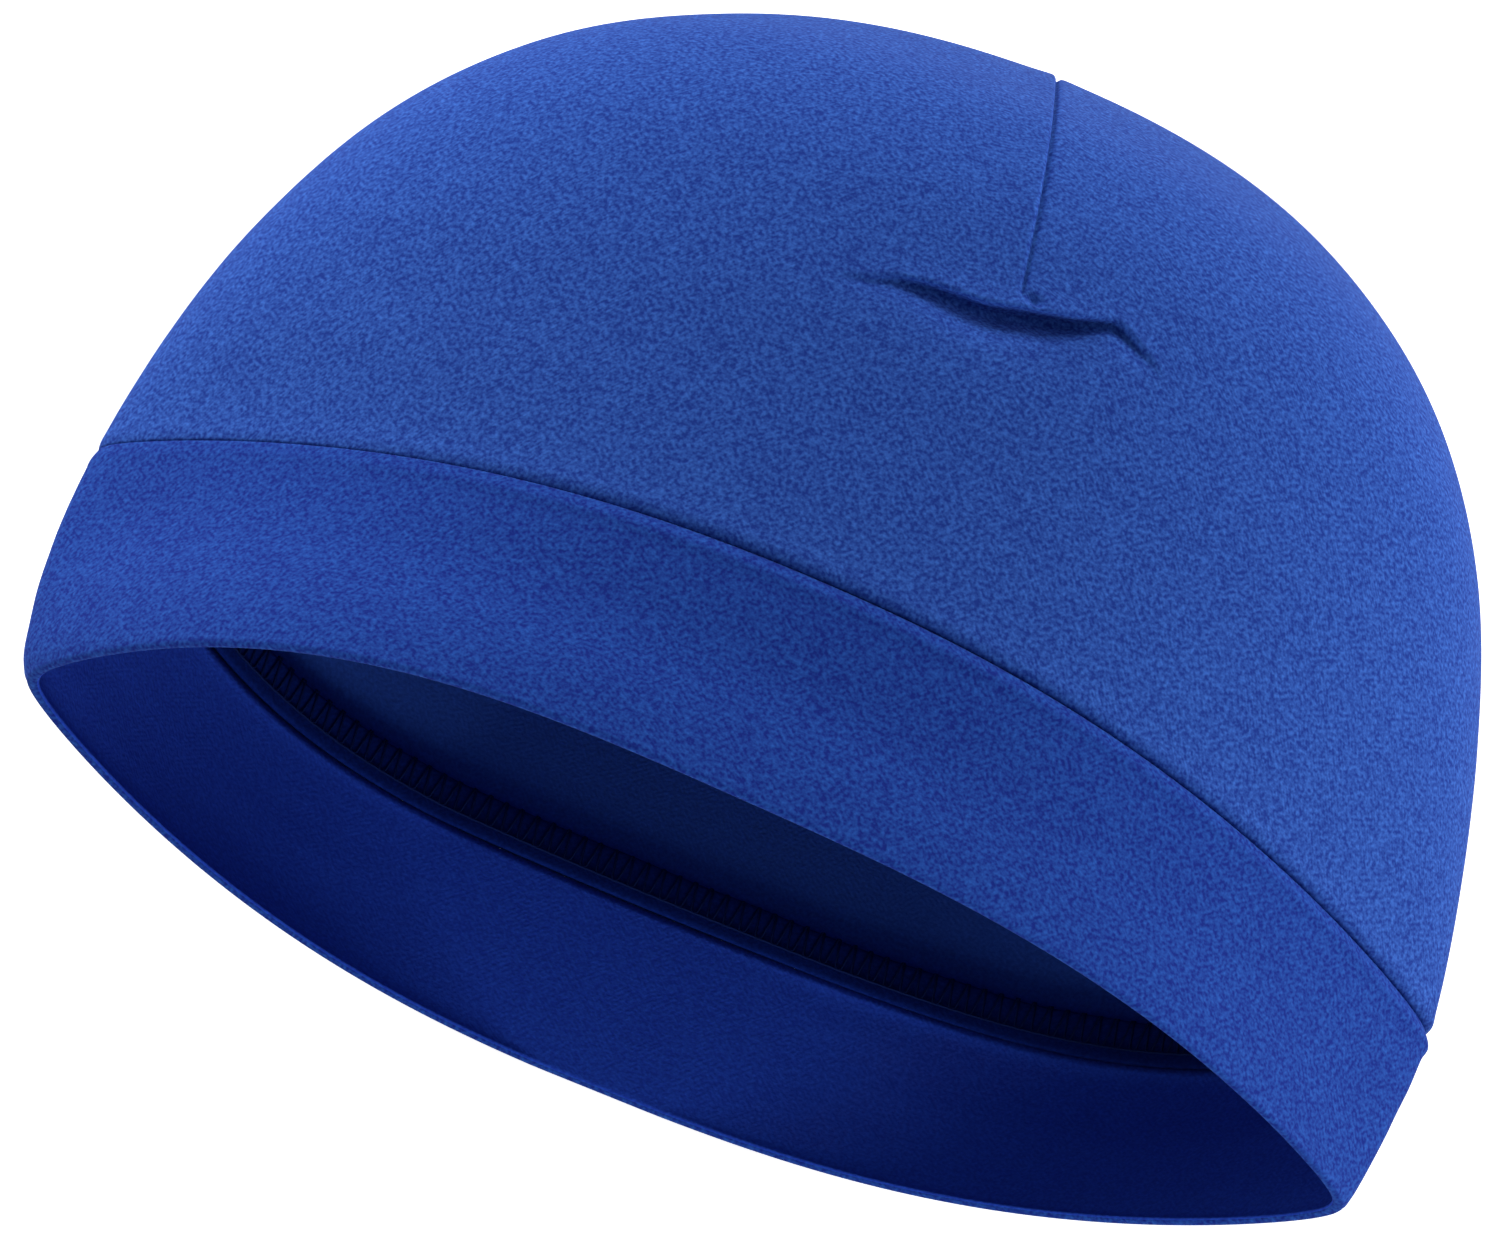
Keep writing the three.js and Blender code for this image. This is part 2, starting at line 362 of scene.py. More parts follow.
@dataclass(frozen=True)
class Columns:
    """The columns of every mesh, in degrees round the cap, close together at the front dart."""

    spacing: float = 1.5
    front: Pair = (71.0, 109.0)
    front_spacing: float = 0.26
    darts: tuple[float, ...] = (0.0, 180.0, 270.0)
    beside_dart: tuple[float, ...] = (0.22, 0.5, 0.9)
    dart_clearance: float = 1.5

    def values(self) -> np.ndarray:
        """Returns the columns, from 0 up to 360 without it."""
        low, high = self.front
        front = np.linspace(low, high, round((high - low) / self.front_spacing) + 1)
        front += FRONT - front[np.abs(front - FRONT).argmin()]
        rest = np.linspace(high, low + 360, round((low + 360 - high) / self.spacing) + 1)[1:-1] % 360
        clear = [column for column in rest if self._from_darts(column) > self.dart_clearance]
        beside = [side * by for by in self.beside_dart for side in (-1, 1)]
        near = [(dart + by) % 360 for dart in self.darts for by in beside]
        return np.array(sorted({*front, *clear, *near, *self.darts}))

    def _from_darts(self, column: float) -> float:
        """Returns the angle from a column to the nearest dart."""
        return min(abs(turn_from(dart, column)) for dart in self.darts)


def add_object(name: str, data: bpy.types.ID) -> bpy.types.Object:
    """Adds an object to the scene.

    Args:
        name: the object's name.
        data: what it holds.

    Returns:
        The object.
    """
    added = bpy.data.objects.new(name, data)
    bpy.context.scene.collection.objects.link(added)
    return added


def add_mesh(name: str, bm: bmesh.types.BMesh) -> bpy.types.Object:
    """Adds an object with the mesh that was built in bm.

    Args:
        name: the name of the object and its mesh.
        bm: the mesh as it was built, which is freed.

    Returns:
        The object.
    """
    mesh = bpy.data.meshes.new(name)
    bm.to_mesh(mesh)
    bm.free()
    return add_object(name, mesh)


@dataclass
class ClothWall:
    """A closed wall of cloth from rings of points, with a UV map in millimetres of cloth.

    Args:
        name: the finished piece's name.
        columns: the columns of each ring, in degrees.
        rings: rings of points in the cap's frame, in millimetres.
        closure: how the wall is closed.
        poles: the points that close a wall with poles, at the first and the last ring.
        inside_rings: how many of the first rings are on the cloth's inside.
    """

    name: str
    columns: np.ndarray
    rings: np.ndarray
    closure: Closure
    poles: tuple[np.ndarray, ...] = ()
    inside_rings: int = 0

    def build(self, form: CapForm) -> bpy.types.Object:
        """Grows the wall ring by ring and closes it.

        Args:
            form: the cap's form, which places it.

        Returns:
            The wall as an object at the origin.
        """
        bm = bmesh.new()
        row = bm.verts.layers.int.new("row")
        column = bm.verts.layers.int.new("column")
        start = bmesh.ops.create_circle(bm, segments=len(self.columns), radius=1.0)
        for number, vert in enumerate(start["verts"]):
            vert[column] = number
        first = edges = list(bm.edges)
        for number in range(1, len(self.rings)):
            grown = bmesh.ops.extrude_edge_only(bm, edges=edges)["geom"]
            new = {part for part in grown if isinstance(part, bmesh.types.BMVert)}
            for vert in new:
                vert[row] = number
            grown_edges = (part for part in grown if isinstance(part, bmesh.types.BMEdge))
            edges = [edge for edge in grown_edges if new.issuperset(edge.verts)]
        places = form.place(self.rings)
        for vert in bm.verts:
            vert.co = places[vert[row], vert[column]]
        if self.closure is Closure.RING:
            bmesh.ops.bridge_loops(bm, edges=first + edges)
        for number, (loop, pole) in enumerate(zip((first, edges), self.poles)):
            cap = bmesh.ops.edgeloop_fill(bm, edges=loop)["faces"]
            centre = bmesh.ops.poke(bm, faces=cap)["verts"][0]
            centre.co = form.place(pole)
            centre[row] = number * (len(self.rings) - 1)
            centre[column] = POLE
        bmesh.ops.recalc_face_normals(bm, faces=bm.faces)
        self._lay_flat(bm, row, column)
        return add_mesh(self.name, bm)

    def _lay_flat(self, bm: bmesh.types.BMesh, row: Any, column: Any) -> None:
        """Gives each face its side of the cloth and its place on the flat cloth.

        Args:
            bm: the wall's mesh.
            row: the layer that holds the number of each vertex's ring.
            column: the layer that holds the number of its column.
        """
        across, along = self._flat_places()
        uv_map = bm.loops.layers.uv.new(UV_MAP)
        count = len(self.columns)
        for face in bm.faces:
            face.smooth = True
            inside = max(vert[row] for vert in face.verts) < self.inside_rings
            face.material_index = (Face.INSIDE if inside else Face.OUTSIDE).value
            sides = [vert[column] for vert in face.verts if vert[column] != POLE]
            wraps = max(sides) - min(sides) > count / 2  # it joins the last column to the first
            left = max(sides) if wraps else min(sides)
            quarter = int(self.columns[left] // QUARTER)
            for loop in face.loops:
                ring, place = loop.vert[row], loop.vert[column]
                if place == POLE:
                    place = left
                elif wraps and place == min(sides):
                    place = count
                loop[uv_map].uv = (across[quarter][ring, place], along[ring, place])

    def _flat_places(self) -> tuple[list[np.ndarray], np.ndarray]:
        """Returns the place of each point on the flat cloth, in millimetres.

        The wales run straight up each quarter of the cap from its middle, and end where its darts cut them.

        Returns:
            The distance across for each quarter, and the distance along, both by ring and column.
        """
        looped = np.concatenate([self.rings, self.rings[:, :1]], axis=1)
        around = np.linalg.norm(np.diff(looped, axis=1), axis=2)
        round_ring = np.concatenate([np.zeros((len(looped), 1)), np.cumsum(around, axis=1)], axis=1)
        up = np.linalg.norm(np.diff(looped, axis=0), axis=2)
        along = np.concatenate([np.zeros((1, looped.shape[1])), np.cumsum(up, axis=0)])
        degrees = np.append(self.columns, 360)
        longest = round_ring[:, -1].max()
        across = []
        for quarter in range(QUARTERS):
            middle = np.abs(degrees - QUARTER * quarter - QUARTER / 2).argmin()
            from_middle = round_ring - round_ring[:, middle : middle + 1]
            across.append(longest * (quarter + 0.5) / QUARTERS + from_middle)
        return across, along


def linear(colour: str) -> tuple[float, float, float, float]:
    """Returns an sRGB hex colour as the linear colour that a shader takes."""
    parts = [int(colour[start : start + 2], 16) / 255 for start in (1, 3, 5)]
    return *(part / 12.92 if part <= 0.04045 else ((part + 0.055) / 1.055) ** 2.4 for part in parts), 1.0


def noise_scale(size: float) -> float:
    """Returns the scale of a noise on Object coordinates whose spots are about size millimetres wide."""
    return 1 / (size * MM)


def new_material(name: str) -> tuple[bpy.types.Material, bpy.types.NodeTree]:
    """Adds a material without nodes.

    Args:
        name: the material's name.

    Returns:
        The material and its node tree.
    """
    material = bpy.data.materials.new(name)
    material.use_nodes = True
    material.node_tree.nodes.clear()
    return material, material.node_tree


def add_node(
    tree: bpy.types.NodeTree, kind: str, inputs: dict[int | str, Any], **settings: Any
) -> bpy.types.Node:
    """Adds a node to a tree.

    Args:
        tree: the tree that gets the node.
        kind: the node's type.
        inputs: for each input, by its name or number, a value, another node's output, or another node,
            which stands for its first output in use.
        settings: the node's own settings.

    Returns:
        The node.
    """
    node = tree.nodes.new(kind)
    for name, value in settings.items():
        setattr(node, name, value)
    for name, value in inputs.items():
        if isinstance(value, bpy.types.Node):
            value = next(output for output in value.outputs if output.enabled)
        if isinstance(value, bpy.types.NodeSocket):
            tree.links.new(value, node.inputs[name])
        else:
            node.inputs[name].default_value = value
    return node


@dataclass(frozen=True)
class BrushedJersey:
    """Weft-knitted polyester and elastane jersey with a brushed face.

    The knit shows as the slanted legs of its loops, to the left in some patches and to the right in others,
    under a short nap. The nap scatters light into a soft sheen where the cloth turns away, and mottles the
    colour in specks. All sizes are in millimetres.
    """

    name: str
    deep: str  # the colour between the fibres
    full: str  # the colour of the fibres in full light
    sheen: float
    sheen_tint: str
    wale: float = 0.9  # real wales are 0.5 mm apart, drawn wider so that they show
    course: float = 1.0  # real courses are closer too, and drawn wider for the same reason
    speck: float = 0.6
    patch: float = 4.5
    mottle: float = 9.0
    wander: float = 9.0  # how far the wales wander, in radians of the pattern
    patch_edge: float = 1 / 12  # half the part of the patches' noise over which the slant changes
    # The share of the full colour: its mean, and what specks, knit and mottle add to it
    full_share: float = 0.37
    speck_contrast: float = 2.05
    knit_contrast: float = 0.08
    mottle_contrast: float = 0.12
    # The raised fibres, and how rough the deep and the raised ones are
    knit_relief: float = 0.07
    nap_height: float = 0.3
    nap_strength: float = 0.25
    nap_range: Pair = (0.3, 0.7)
    roughness: Pair = (0.95, 0.8)
    ior: float = 1.5
    specular: float = 0.06

    def material(self) -> bpy.types.Material:
        """Returns the cloth's material."""
        material, tree = new_material(self.name)
        spot = add_node(tree, "ShaderNodeTexCoord", {}).outputs["Object"]
        nap, patches, mottle = (
            add_node(
                tree,
                "ShaderNodeTexNoise",
                {"Vector": spot, "Scale": noise_scale(size), "Detail": detail, "Roughness": 0.5},
            )
            for size, detail in ((self.speck, 1.0), (self.patch, 1.0), (self.mottle, 2.0))
        )
        knit = self._knit(tree, patches, mottle)
        share = self.full_share - 0.5 * (self.speck_contrast + self.mottle_contrast)
        contrasts = (self.speck_contrast, self.knit_contrast, self.mottle_contrast)
        for pattern, contrast in zip((nap, knit, mottle), contrasts):
            added = {0: pattern, 1: contrast, 2: share}
            share = add_node(tree, "ShaderNodeMath", added, operation="MULTIPLY_ADD")
        colours = {"Factor": share, "A": linear(self.deep), "B": linear(self.full)}
        relief = {0: knit, 1: self.knit_relief, 2: nap}
        height = add_node(tree, "ShaderNodeMath", relief, operation="MULTIPLY_ADD")
        raised = {"Strength": self.nap_strength, "Distance": self.nap_height * MM, "Height": height}
        rough = {
            "Value": nap,
            "From Min": self.nap_range[0],
            "From Max": self.nap_range[1],
            "To Min": self.roughness[0],
            "To Max": self.roughness[1],
        }
        shader = add_node(
            tree,
            "ShaderNodeBsdfPrincipled",
            {
                "Base Color": add_node(tree, "ShaderNodeMix", colours, data_type="RGBA"),
                "Roughness": add_node(tree, "ShaderNodeMapRange", rough),
                "IOR": self.ior,
                "Specular IOR Level": self.specular,
                "Sheen Weight": self.sheen,
                "Sheen Roughness": 1.0,
                "Sheen Tint": linear(self.sheen_tint),
                "Normal": add_node(tree, "ShaderNodeBump", raised),
            },
        )
        add_node(tree, "ShaderNodeOutputMaterial", {"Surface": shader})
        return material

    def _knit(
        self, tree: bpy.types.NodeTree, patches: bpy.types.Node, mottle: bpy.types.Node
    ) -> bpy.types.Node:
        """Adds the slanted legs of the loops.

        Args:
            tree: the tree that gets the nodes.
            patches: the noise that says to which side the legs slant.
            mottle: the noise by which the wales wander.

        Returns:
            The node that gives the knit's pattern, from -1 to 1.
        """
        cloth = add_node(tree, "ShaderNodeUVMap", {}, uv_map=UV_MAP)
        turns = (math.tau / self.wale, math.tau / self.course, 0)
        phase = add_node(tree, "ShaderNodeVectorMath", {0: cloth, 1: turns}, operation="MULTIPLY")
        wales, courses, _ = add_node(tree, "ShaderNodeSeparateXYZ", {0: phase}).outputs
        wandering = {0: mottle, 1: self.wander, 2: wales}
        wandered = add_node(tree, "ShaderNodeMath", wandering, operation="MULTIPLY_ADD")
        legs = []
        for slant in ("SUBTRACT", "ADD"):
            slanted = add_node(tree, "ShaderNodeMath", {0: wandered, 1: courses}, operation=slant)
            legs.append(add_node(tree, "ShaderNodeMath", {0: slanted}, operation="COSINE"))
        edge = {"Value": patches, "From Min": 0.5 - self.patch_edge, "From Max": 0.5 + self.patch_edge}
        side = add_node(tree, "ShaderNodeMapRange", edge)
        return add_node(tree, "ShaderNodeMix", {"Factor": side, "A": legs[0], "B": legs[1]})


@dataclass(frozen=True)
class SpunPolyester:
    """Spun polyester overlock thread: matt, slightly hairy, with a twist that shows as flecks along it."""

    name: str
    colour: str
    fleck: str
    fleck_size: float = 0.35
    twist_height: float = 0.1
    twist_strength: float = 0.5
    roughness: float = 0.8
    ior: float = 1.5
    specular: float = 0.1

    def material(self) -> bpy.types.Material:
        """Returns the thread's material."""
        material, tree = new_material(self.name)
        spot = add_node(tree, "ShaderNodeTexCoord", {}).outputs["Object"]
        flecks = {"Vector": spot, "Scale": noise_scale(self.fleck_size), "Detail": 2.0}
        twist = add_node(tree, "ShaderNodeTexNoise", flecks)
        colours = {"Factor": twist, "A": linear(self.colour), "B": linear(self.fleck)}
        raised = {"Strength": self.twist_strength, "Distance": self.twist_height * MM, "Height": twist}
        shader = add_node(
            tree,
            "ShaderNodeBsdfPrincipled",
            {
                "Base Color": add_node(tree, "ShaderNodeMix", colours, data_type="RGBA"),
                "Roughness": self.roughness,
                "IOR": self.ior,
                "Specular IOR Level": self.specular,
                "Normal": add_node(tree, "ShaderNodeBump", raised),
            },
        )
        add_node(tree, "ShaderNodeOutputMaterial", {"Surface": shader})
        return material


@dataclass(frozen=True)
class MattPaper:
    """Matt white backdrop paper, lit from behind, so that it is evenly white and hardly takes a shadow."""

    name: str
    colour: str
    glow: float
    roughness: float = 0.9

    def material(self) -> bpy.types.Material:
        """Returns the paper's material."""
        material, tree = new_material(self.name)
        shader = add_node(
            tree,
            "ShaderNodeBsdfPrincipled",
            {
                "Base Color": linear(self.colour),
                "Roughness": self.roughness,
                "Specular IOR Level": 0.0,
                "Emission Color": linear("#ffffff"),
                "Emission Strength": self.glow,
            },
        )
        add_node(tree, "ShaderNodeOutputMaterial", {"Surface": shader})
        return material


# One layer of royal blue jersey; the band's copy of it is drawn darker, as painted shade
CROWN_JERSEY = BrushedJersey("brushed_jersey_crown", "#002e92", "#346bd0", 0.06, "#cce2ff")
# The same jersey folded double, drawn darker than the crown's: painted shade, as the band turns from the
# light
BAND_SHADED_JERSEY = BrushedJersey("brushed_jersey_band", "#001f88", "#1f59bc", 0.045, "#c8e2ff")
# The inner layer of the band, drawn lighter and in a purer blue: painted light for what comes through the
# cloth
BAND_INSIDE_LIT_JERSEY = BrushedJersey("brushed_jersey_band_inside_painted_light", "#1440c4", "#2258e0", 0.05, "#d7e8ff")
# The back of the crown's jersey, unbrushed and duller than its face, and drawn darker still as painted shade
CROWN_INSIDE_SHADED_JERSEY = BrushedJersey("brushed_jersey_crown_inside_painted_shade", "#103c94", "#1a4cb0", 0.05, "#d7e8ff")
# The cut edges under the threads, drawn dark navy and without sheen: painted shade in the seam inside the
# cap
ALLOWANCE_SHADED_JERSEY = BrushedJersey("cut_jersey_edge_painted_shade", "#041a5c", "#0a2674", 0.0, "#3a4f96")
# Dark navy thread, which with the strip's painted shade makes the seam inside the cap look near black
OVERLOCK_THREAD = SpunPolyester("spun_polyester_thread", "#04123c", "#08205c")
# The backdrop, as white as the photograph's
BACKDROP_PAPER = MattPaper("matt_white_floor", "#fafafa", 0.8)


def cover(piece: bpy.types.Object, *finishes: BrushedJersey | SpunPolyester | MattPaper) -> None:
    """Gives a piece its materials, in the order of its slots."""
    for finish in finishes:
        piece.data.materials.append(finish.material())


@dataclass
class Crown:
    """The crown: one tube of brushed jersey, closed at the top by four darts that meet there."""

    form: CapForm
    columns: np.ndarray
    thickness: float = 1.1
    edge_gap: float = 0.06  # from the middle of the seam
    top_gap: float = 0.06  # ranks from the last ring to the top
    # The seam of band and crown pulls the cloth in, and the crown swells a little above it
    pinch: Hump = Hump(0.5, 0.95)
    ditch: Hump = Hump(0.3, 0.35)
    lip: Hump = Hump(0.1, 1.2, 1.6)
    # Darts: the column and the rank where each starts. The stitched line is a narrow ditch, which deepens
    # over dart_begins, in ranks from the start. Over dart_growth ranks the cloth beside it swells and stands
    # a step higher on one side, and inside the dart's allowance is folded over
    darts: tuple[Pair, ...] = ((0, 6.0), (90, 5.4), (180, 6.0), (270, 5.6))
    dart_begins: Pair = (-0.03, 0.08)
    dart_growth: float = 1.0
    dart_ditch: Hump = Hump(0.6, 0.4)
    dart_swell: Hump = Hump(0.1, 3.2)
    dart_valley: Hump = Hump(0.1, 1.0)
    dart_step: float = 0.3
    dart_step_width: float = 3.0
    dart_allowance: Hump = Hump(0.9, 1.5, 1.2)
    # The pucker across the end of the front dart: the lip of the cloth that hangs over it, and its depth
    crease: Table = Table(
        (-16, -11, -7, -2, 6, 12, 18, 24, 26, 29.5, 35),
        (78.6, 79.6, 81.5, 82.5, 83.2, 85, 86.7, 89.1, 88, 86.2, 82.8),
        1,
    )
    crease_depth: Table = Table(
        (-15, -8, -2, 3, 8, 15, 19, 22, 25, 28, 32),
        (0, 0.9, 2.3, 3.7, 4.4, 4.2, 3.0, 1.8, 1.3, 0.8, 0),
        1,
    )
    full_depth: float = 4.4  # where the pucker is at its widest
    # Across the pucker, by the distance above the lip: its share of the depth, and its shift towards +Y
    crease_drop: Table = Table(
        (-15, -11, -8, -6, -4.4, -3, -1.8, -0.8, -0.4, -0.1, 0.2, 0.5, 0.8, 1.3, 2.2, 3.5, 6),
        (0, 0.03, 0.09, 0.18, 0.32, 0.5, 0.76, 1, 0.93, 0.75, 0.45, 0.1, -0.08, -0.15, -0.1, -0.04, 0),
        0.12,
    )
    crease_draw: Table = Table(
        (-3, -1.6, -0.8, -0.3, 0.1, 0.5, 0.9, 1.6, 2.6, 4.5),
        (0, 0.3, 0.9, 1.1, 0.6, -0.7, -1.3, -1.35, -0.8, 0),
        0.12,
    )
    narrowest_crease: float = 0.55
    crease_inside: Hump = Hump(1.0, 4.5, -1.2)
    # The dimple beside the end of the front dart
    dimple: Pair = (12.0, 87.2)
    dimple_size: Pair = (1.3, 0.55)
    dimple_depth: Hump = Hump(1.0, 1.0)
    swells: Swells = Swells(0.22, 34, 3)
    swells_begin: Pair = (3.0, 18.0)  # millimetres above the seam
    outer_spacing: Spacing = Spacing(1.45, ((0, 38, 0.32), (74, 93, 0.3)))
    inner_spacing: Spacing = Spacing(3.2, ((0, 42, 1.2),))

    def _dart_relief(self, rank: float) -> tuple[np.ndarray, np.ndarray]:
        """Returns the relief of the darts.

        Args:
            rank: the rank of the ring.

        Returns:
            How far the darts raise the outer face, and how far their allowances thicken the wall inwards.
        """
        outside = np.zeros(len(self.columns))
        inside = np.zeros(len(self.columns))
        ahead, behind = (self.form.wall(rank, self.columns + turn) for turn in (0.5, -0.5))
        per_degree = np.linalg.norm(ahead - behind, axis=1)
        for angle, start in self.darts:
            aside = turn_from(angle, self.columns) * per_degree
            begun = smoothstep(rank, start + self.dart_begins[0], start + self.dart_begins[1])
            grown = smoothstep(rank, start, start + self.dart_growth)
            step = self.dart_step * (aside > 0) * np.exp(-np.abs(aside) / self.dart_step_width)
            outside += grown * (self.dart_swell(aside) - self.dart_valley(aside) + step)
            outside -= begun * self.dart_ditch(aside)
            inside += grown * self.dart_allowance(aside)
        return outside, inside

    def _pucker(self, points: np.ndarray) -> tuple[np.ndarray, np.ndarray, np.ndarray]:
        """Returns the relief of the pucker.

        Args:
            points: points of the smooth wall.

        Returns:
            Its relief on the outer face, its relief on the inner face, and its shift along Y.
        """
        above = points[:, 1] - self.crease(points[:, 0])
        depth = self.crease_depth(points[:, 0]) * (points[:, 2] > 0)
        share = depth / self.full_depth
        narrow = self.narrowest_crease + (1 - self.narrowest_crease) * share
        across = np.where(above < 0, above / narrow, above)
        inside = -depth * self.crease_inside(above)
        return -depth * self.crease_drop(across), inside, share * self.crease_draw(across)

    def _dimple(self, points: np.ndarray) -> np.ndarray:
        """Returns the relief of the dimple beside the end of the front dart, at each point."""
        away = (points[:, :2] - np.array(self.dimple)) / np.array(self.dimple_size)
        return -self.dimple_depth(np.linalg.norm(away, axis=1)) * (points[:, 2] > 0)

    def ring(self, rank: float, side: Face) -> np.ndarray:
        """Returns a ring of the crown.

        Args:
            rank: the rank of the ring.
            side: the face of the cloth that it is on.

        Returns:
            Its points in the cap's frame.
        """
        form = self.form
        points = form.wall(rank, self.columns)
        normal = form.normal(rank, self.columns)
        above_seam = points[:, 1] - form.wall(form.seam_rank, self.columns)[:, 1]
        pull = form.seam_pull(self.columns)
        dart_outside, dart_inside = self._dart_relief(rank)
        pucker_outside, pucker_inside, shift = self._pucker(points)
        relief = self.swells(points) * smoothstep(above_seam, *self.swells_begin)
        relief -= pull * self.pinch(above_seam)
        inset = 0.0
        if side is Face.OUTSIDE:
            relief += pull * (self.lip(above_seam) - self.ditch(above_seam))
            relief += dart_outside + pucker_outside + self._dimple(points)
            points[:, 1] += shift
        else:
            inset = self.thickness
            relief += pucker_inside - dart_inside - inset
        return form.rest(points + normal * relief[:, None], inset)

    def build(self) -> bpy.types.Object:
        """Builds the crown, dresses it and returns it."""
        form = self.form
        edge = form.rank_near_seam(self.edge_gap)
        last = form.top_rank - self.top_gap
        inside = form.ranks(edge, last, self.inner_spacing)
        outside = form.ranks(edge, last, self.outer_spacing)
        rings = [self.ring(rank, Face.INSIDE) for rank in reversed(inside)]
        rings += [self.ring(rank, Face.OUTSIDE) for rank in outside]
        top = form.wall(form.top_rank, self.columns[:1])[0]
        poles = tuple(
            top - np.array([0, depth, 0])
            for depth in (self.thickness + self.dart_allowance.height, self.dart_ditch.height)
        )
        wall = ClothWall("crown_cloth", self.columns, np.array(rings), Closure.POLES, poles, len(inside))
        piece = wall.build(form)
        self.dress(piece)
        return piece

    def dress(self, piece: bpy.types.Object) -> None:
        """Gives the crown its jersey, outside and inside, where it is drawn darker as painted shade."""
        cover(piece, CROWN_JERSEY, CROWN_INSIDE_SHADED_JERSEY)


@dataclass
class Band:
    """The band: the jersey folded double, with its fold at the rim."""

    form: CapForm
    columns: np.ndarray
    thickness: float = 1.4
    edge_gap: float = 0.06  # from the middle of the seam
    start_rank: float = 0.25  # where the folded rim ends
    # The seam pulls the cloth in, with a swell below it, and the front of the band is hollow
    pinch: Hump = Hump(0.45, 1.2)
    ditch: Hump = Hump(0.25, 0.3)
    lip: Hump = Hump(0.3, 1.1, 2.3)
    hollow: Hump = Hump(1.5, 10.0, 15.5)
    hollow_range: Pair = (0.0, 0.4)  # of the sine of the column
    swells: Swells = Swells(0.2, 26, 7)
    ripples: Swells = Swells(0.07, 5.5, 11, (0.25, 1.0, 0.25))
    # The rim and the seam are even. The ranges are millimetres from each
    even_rim: Pair = (1.0, 8.0)
    even_seam: Pair = (2.0, 8.0)
    outer_spacing: Spacing = Spacing(0.9, ((31.5, 36, 0.35),))
    inner_spacing: Spacing = Spacing(1.3)
    fold_rings: int = 11
    fold_rings_inside: int = 3

    def ring(self, rank: float, side: Face) -> np.ndarray:
        """Returns a ring of the band.

        Args:
            rank: the rank of the ring.
            side: the face of the cloth that it is on.

        Returns:
            Its points in the cap's frame.
        """
        form = self.form
        points = form.wall(rank, self.columns)
        below = form.wall(form.seam_rank, self.columns)[:, 1] - points[:, 1]
        pull = form.seam_pull(self.columns)
        front = smoothstep(np.sin(np.radians(self.columns)), *self.hollow_range)
        clear = smoothstep(points[:, 1], *self.even_rim) * smoothstep(below, *self.even_seam)
        relief = (self.swells(points) + self.ripples(points)) * clear
        relief -= pull * self.pinch(below) + front * self.hollow(below)
        inset = self.thickness
        if side is Face.OUTSIDE:
            inset = 0.0
            relief += pull * (self.lip(below) - self.ditch(below))
        return form.rest(form.wall(rank, self.columns, inset - relief), inset)

    def fold(self, turn: float) -> np.ndarray:
        """Returns a ring of the folded rim.

        Args:
            turn: how far round the fold it is, from 0 outside to 180 degrees inside.

        Returns:
            Its points in the cap's frame.
        """
        radius = self.thickness / 2
        inset = radius * (1 - math.cos(math.radians(turn)))
        points = self.form.wall(0, self.columns, inset)
        points[:, 1] += radius * (1 - math.sin(math.radians(turn)))
        return self.form.rest(points, inset)

    def build(self) -> bpy.types.Object:
        """Builds the band, dresses it and returns it."""
        form = self.form
        edge = form.rank_near_seam(-self.edge_gap, side=-1)
        inside = form.ranks(self.start_rank, edge, self.inner_spacing)
        outside = form.ranks(self.start_rank, edge, self.outer_spacing)
        rings = [self.ring(rank, Face.INSIDE) for rank in reversed(inside)]
        rings += [self.fold(turn) for turn in np.linspace(180, 0, self.fold_rings)]
        rings += [self.ring(rank, Face.OUTSIDE) for rank in outside]
        inner = len(inside) + self.fold_rings_inside
        wall = ClothWall("band_cloth", self.columns, np.array(rings), Closure.RING, inside_rings=inner)
        piece = wall.build(form)
        self.dress(piece)
        return piece

    def dress(self, piece: bpy.types.Object) -> None:
        """Gives the band its jersey: outside drawn darker, as painted shade, and inside drawn lighter, as
        painted light.
        """
        cover(piece, BAND_SHADED_JERSEY, BAND_INSIDE_LIT_JERSEY)


@dataclass
class SeamAllowance:
    """The cut edges of band and crown, turned up against the crown's inside."""

    form: CapForm
    columns: np.ndarray
    outer_inset: float = 1.9
    thickness: float = 1.1
    start: float = -0.45  # it reaches past the seam, so that no light shows through
    width: float = 7.05
    edge_wave: Swells = Swells(0.35, 14, 5)
    sides: int = 24
    # An ellipse has 1, and less squares the strip's ends and faces
    end_power: float = 0.35
    face_power: float = 0.6

    @property
    def edge(self) -> float:
        """The height of the cut edge above the seam."""
        return self.start + self.width

    def build(self) -> bpy.types.Object:
        """Builds the strip of cut edges, dresses it and returns it."""
        form = self.form
        wave = self.edge_wave(form.wall(form.seam_rank, self.columns))
        half = self.thickness / 2
        rings = []
        for turn in np.linspace(0, math.tau, self.sides, endpoint=False):
            side, rise = math.cos(turn), math.sin(turn)
            up = 0.5 + 0.5 * math.copysign(abs(rise) ** self.end_power, rise)
            inset = self.outer_inset + half - half * math.copysign(abs(side) ** self.face_power, side)
            points = form.wall(form.rank_near_seam(self.start + self.width * up), self.columns, inset)
            points[:, 1] += wave * up
            rings.append(form.rest(points, inset))
        piece = ClothWall("seam_allowance_cloth", self.columns, np.array(rings), Closure.RING).build(form)
        self.dress(piece)
        return piece

    def dress(self, piece: bpy.types.Object) -> None:
        """Gives the cut edges their jersey, drawn dark as painted shade."""
        cover(piece, ALLOWANCE_SHADED_JERSEY)


